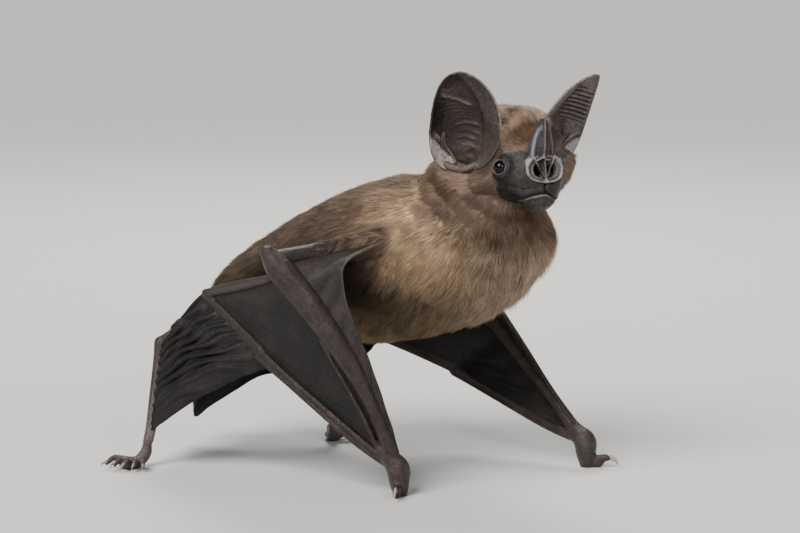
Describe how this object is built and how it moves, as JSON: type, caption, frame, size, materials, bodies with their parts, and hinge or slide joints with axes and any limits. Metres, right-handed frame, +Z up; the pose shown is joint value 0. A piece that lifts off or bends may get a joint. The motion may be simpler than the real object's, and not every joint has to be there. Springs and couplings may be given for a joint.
{
  "type": "leaf-nosed bat",
  "caption": "Life-size still model of a round-eared leaf-nosed bat standing on its folded wrists and hind feet, head turned to its right.",
  "frame": {"origin": "middle of the model's bounding box, at the level of the flats it stands on", "axes": "the bat's body faces -Y, its right side is at -X, and +Z is up"},
  "size_m": [0.077, 0.1046, 0.0915],
  "materials": {
    "fur_pale": "short soft buff fur",
    "fur_head": "short brown fur round a bare dark face",
    "fur_dark": "short grey-brown fur",
    "face_skin": "bare slate-grey skin, slightly shiny",
    "ear_skin": "thin folded brown-grey skin",
    "limb_skin": "bare brown-grey skin with a soft sheen",
    "wing_skin": "thin charcoal membrane with a fine grain",
    "claw_horn": "pale grey horn",
    "eye_black": "wet black"
  },
  "bodies": {
    "root": {"trunk": "fur_pale", "neck": "fur_pale", "head": "fur_head", "eye_right": "eye_black", "eye_left": "eye_black", "ear_right": "ear_skin", "ear_left": "ear_skin", "nose_leaf": "face_skin", "tail": "limb_skin", "tail_membrane": "wing_skin", "forearm_right": "limb_skin", "wrist_right": "limb_skin", "thumb_claw_right": "claw_horn", "metacarpals_right": "limb_skin", "phalanges_right": "limb_skin", "folded_tip_right": "wing_skin", "fore_finger_right": "limb_skin", "upper_arm_right": "limb_skin", "thigh_right": "fur_dark", "shin_right": "limb_skin", "foot_right": "limb_skin", "front_membrane_right": "wing_skin", "hand_membrane_right": "wing_skin", "leg_membrane_right": "wing_skin", "flank_membrane_right": "wing_skin", "forearm_left": "limb_skin", "wrist_left": "limb_skin", "thumb_claw_left": "claw_horn", "metacarpals_left": "limb_skin", "phalanges_left": "limb_skin", "folded_tip_left": "wing_skin", "fore_finger_left": "limb_skin", "upper_arm_left": "limb_skin", "thigh_left": "fur_dark", "shin_left": "limb_skin", "foot_left": "limb_skin", "front_membrane_left": "wing_skin", "hand_membrane_left": "wing_skin", "leg_membrane_left": "wing_skin", "flank_membrane_left": "wing_skin"}
  },
  "joints": []
}
